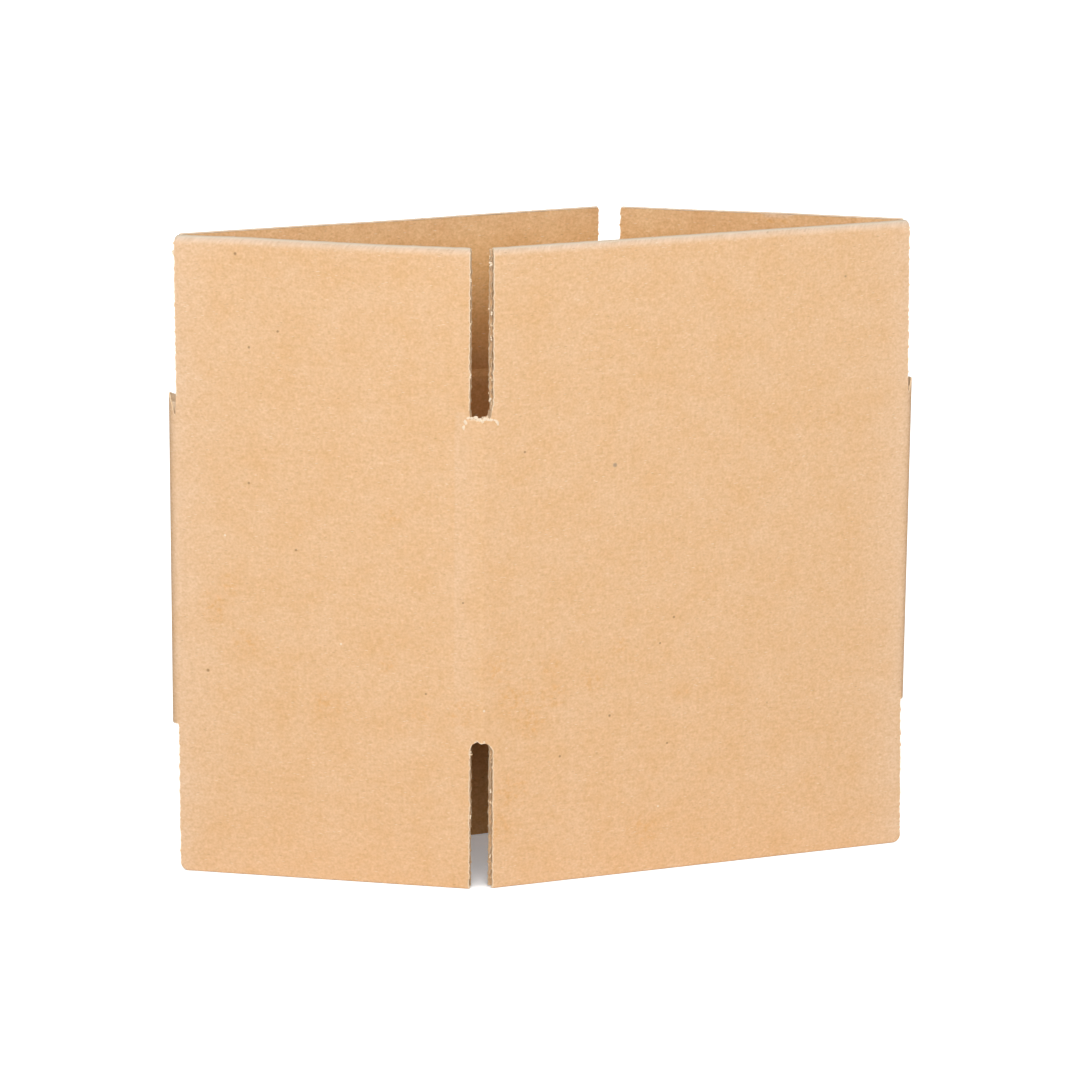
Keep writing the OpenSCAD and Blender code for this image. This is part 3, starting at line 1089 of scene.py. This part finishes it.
def make_flap(panel, top, materials):
    """One flap of three papers and torn bits, with the board's crease at its foot."""
    shape = FlapShape(panel, top)
    low, high = panel.flap_begin, panel.flap_end
    roll_start = shape.length - shape.rolled
    roll_end = roll_start + shape.rolled * math.pi / 2
    crease_stops = [-CREASE_REACH, HOLLOW_FOOT, 0, HOLLOW_DEEPEST, CREASE_REACH]
    crease_rows = spaced(crease_stops, OVER_CREASE)[:-1]
    ends = [low + stop for stop in SIDE_STOPS] + [high - stop for stop in reversed(SIDE_STOPS)]

    rows = crease_rows + spaced([CREASE_REACH, roll_start], UPWARD)[:-1]
    rows += spaced([roll_start, roll_end, roll_end + ROLLED_FLAT], shape.rolled / 4)
    outer = ruled_sheet(spaced(ends, ACROSS), rows)
    thickened(outer, LINER)
    shape.shaped(outer, outer_liner_depth, shape.seed, "outer")
    paint(outer, OUTSIDE, RAW)
    for face in outer.faces:
        z = face.calc_center_median().z
        if z > roll_start and abs(face.normal.x) < 0.5:
            its_end = face.normal.y > 0.9 and z > shape.length - 2 * LINER
            outer_side = face.normal.z > 0 or face.normal.y < 0 or its_end
            face.material_index = OUTSIDE if outer_side else RAW

    rows = crease_rows + spaced([CREASE_REACH, shape.length], UPWARD)
    inner = ruled_sheet(spaced(ends, ACROSS), rows)
    bmesh.ops.reverse_faces(inner, faces=inner.faces[:])
    thickened(inner, LINER)
    shape.shaped(inner, inner_liner_depth, shape.seed + 0.3, "inner")
    paint(inner, RAW, INSIDE)
    for face in inner.faces:
        if face.material_index == EDGE and face.normal.z > 0.7:
            face.material_index = INSIDE

    wave = ruled_sheet(spaced(ends, FLUTE / 8), rows)
    thickened(wave, FLUTING)
    shape.shaped(wave, fluting_depth, shape.seed + 0.6, "fluting")
    paint(wave, RAW, RAW)

    bm = joined([outer, inner, wave, torn_bits(shape, 90)])
    direction = 1 if top else -1
    crease = TOP_CREASE if top else BOTTOM_CREASE
    write_blank_map(bm, PANEL_BEGIN[panel.name], lambda h: crease + direction * h)
    write_marks_and_highlight(bm, PANEL_BEGIN[panel.name], lambda h: crease + direction * h)
    for v in bm.verts:
        x, y, h = v.co
        v.co = panel.place(x, y) + UP * (crease + direction * h)
    if not top:
        bmesh.ops.reverse_faces(bm, faces=bm.faces[:])
    flap = finished(bm, shape.name + "_board", materials)
    on_crease = panel.place(panel.width / 2, -BOARD) + UP * crease
    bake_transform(flap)
    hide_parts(shape.name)


# Stage, light and camera


# What the room gives the carton; the eye sees it at 1, which is white
ROOM_LIGHT = 0.25

# Each lamp's place, power in watts and size: the key near the camera, a weaker one behind
SOFTBOX = ((-0.637, -1.861, 1.25), 38.9, 1.5)
SOFTBOX_BEHIND = ((0.66, 1.93, 0.35), 18, 0.6)
LAMPS_AIM = Vector((0, 0, 0.1))

# The floor's glow to the eye is dimmed as painted shade where the carton walls it in within this
# distance
WALLED_IN = 0.2
FLOOR_GREY = 0.9

# The camera as fitted to the photograph: place, millimetres of lens and degrees of turn
CAMERA_PLACE = (-0.5462, -1.4867, 0.5470)
CAMERA_LENS = 161.897
CAMERA_SENSOR = 36
CAMERA_TURN, CAMERA_DOWN, CAMERA_ROLL = -20.137, 15.361, 0.4552


def seen_by_eye(tree):
    """1 for rays from the camera, also by way of a mirror or a pane, and 0 for the light's."""
    path = add(tree, "ShaderNodeLightPath").outputs
    seen = path["Is Camera Ray"]
    for name in ("Is Glossy Ray", "Is Transmission Ray"):
        seen = add(
            tree, "ShaderNodeMath", {0: seen, 1: path[name]}, operation="MAXIMUM"
        ).outputs["Value"]
    return seen


def make_stage():
    """White floor and surroundings, white to the eye and plain light on the carton."""
    bm = bmesh.new()
    bmesh.ops.create_grid(bm, x_segments=1, y_segments=1, size=6)
    mesh = bpy.data.meshes.new("floor")
    bm.to_mesh(mesh)
    bm.free()
    mesh.materials.append(white_floor())
    floor = bpy.data.objects.new("floor", mesh)
    bpy.context.scene.collection.objects.link(floor)

    world = bpy.data.worlds.new("white_room")
    bpy.context.scene.world = world
    world.use_nodes = True
    tree = world.node_tree
    tree.nodes.clear()
    strength = ranged(tree, seen_by_eye(tree), 0.0, 1.0, ROOM_LIGHT, 1.0)
    sky = add(tree, "ShaderNodeBackground", {"Color": (1, 1, 1, 1), "Strength": strength})
    add(tree, "ShaderNodeOutputWorld", {"Surface": sky.outputs["Background"]})


def white_floor():
    """Floor that looks white to the eye; where the carton walls it in it is grey with shadow and
    with painted shade, its glow dimmed by ambient occlusion.
    """
    material = bpy.data.materials.new("white_floor")
    material.use_nodes = True
    tree = material.node_tree
    tree.nodes.clear()
    # Painted shade: ambient occlusion dims the floor's glow to the eye where the carton walls it in
    unwalled = add(
        tree, "ShaderNodeAmbientOcclusion", {"Distance": WALLED_IN}, samples=16
    ).outputs["AO"]
    lift = ranged(tree, unwalled, 0.25, 0.45, 0.2, 0.75)
    glow = add(
        tree, "ShaderNodeMath", {0: seen_by_eye(tree), 1: lift}, operation="MULTIPLY"
    ).outputs["Value"]
    shader = add(
        tree, "ShaderNodeBsdfPrincipled",
        {"Base Color": (FLOOR_GREY, FLOOR_GREY, FLOOR_GREY, 1), "Roughness": 0.9,
         "Emission Color": (1, 1, 1, 1), "Emission Strength": glow},
    )
    add(tree, "ShaderNodeOutputMaterial", {"Surface": shader.outputs["BSDF"]})
    return material


def make_lamp(name, place, power, size):
    """A square area lamp that points at the carton."""
    lamp = bpy.data.lights.new(name, "AREA")
    lamp.energy = power
    lamp.size = size
    obj = bpy.data.objects.new(name, lamp)
    obj.location = place
    obj.rotation_euler = (LAMPS_AIM - Vector(place)).to_track_quat("-Z", "Y").to_euler()
    bpy.context.scene.collection.objects.link(obj)


def make_camera():
    """The photograph's viewpoint: from the left front, a little above."""
    data = bpy.data.cameras.new("camera")
    data.lens = CAMERA_LENS
    data.sensor_width = CAMERA_SENSOR
    camera = bpy.data.objects.new("camera", data)
    turn = Matrix.Rotation(math.radians(CAMERA_TURN), 4, "Z")
    tilt = Matrix.Rotation(math.radians(90 - CAMERA_DOWN), 4, "X")
    roll = Matrix.Rotation(math.radians(CAMERA_ROLL), 4, "Z")
    camera.matrix_world = Matrix.Translation(CAMERA_PLACE) @ turn @ tilt @ roll
    bpy.context.scene.collection.objects.link(camera)
    bpy.context.scene.camera = camera


def main():
    """The carton's tube and flaps, and the room around them."""
    materials = make_materials()
    carton_tube(materials)
    for panel in PANELS:
        make_flap(panel, True, materials)
        make_flap(panel, False, materials)
    make_stage()
    make_lamp("softbox", *SOFTBOX)
    make_lamp("softbox_behind", *SOFTBOX_BEHIND)
    make_camera()
    bpy.context.scene.view_settings.view_transform = "Standard"


main()
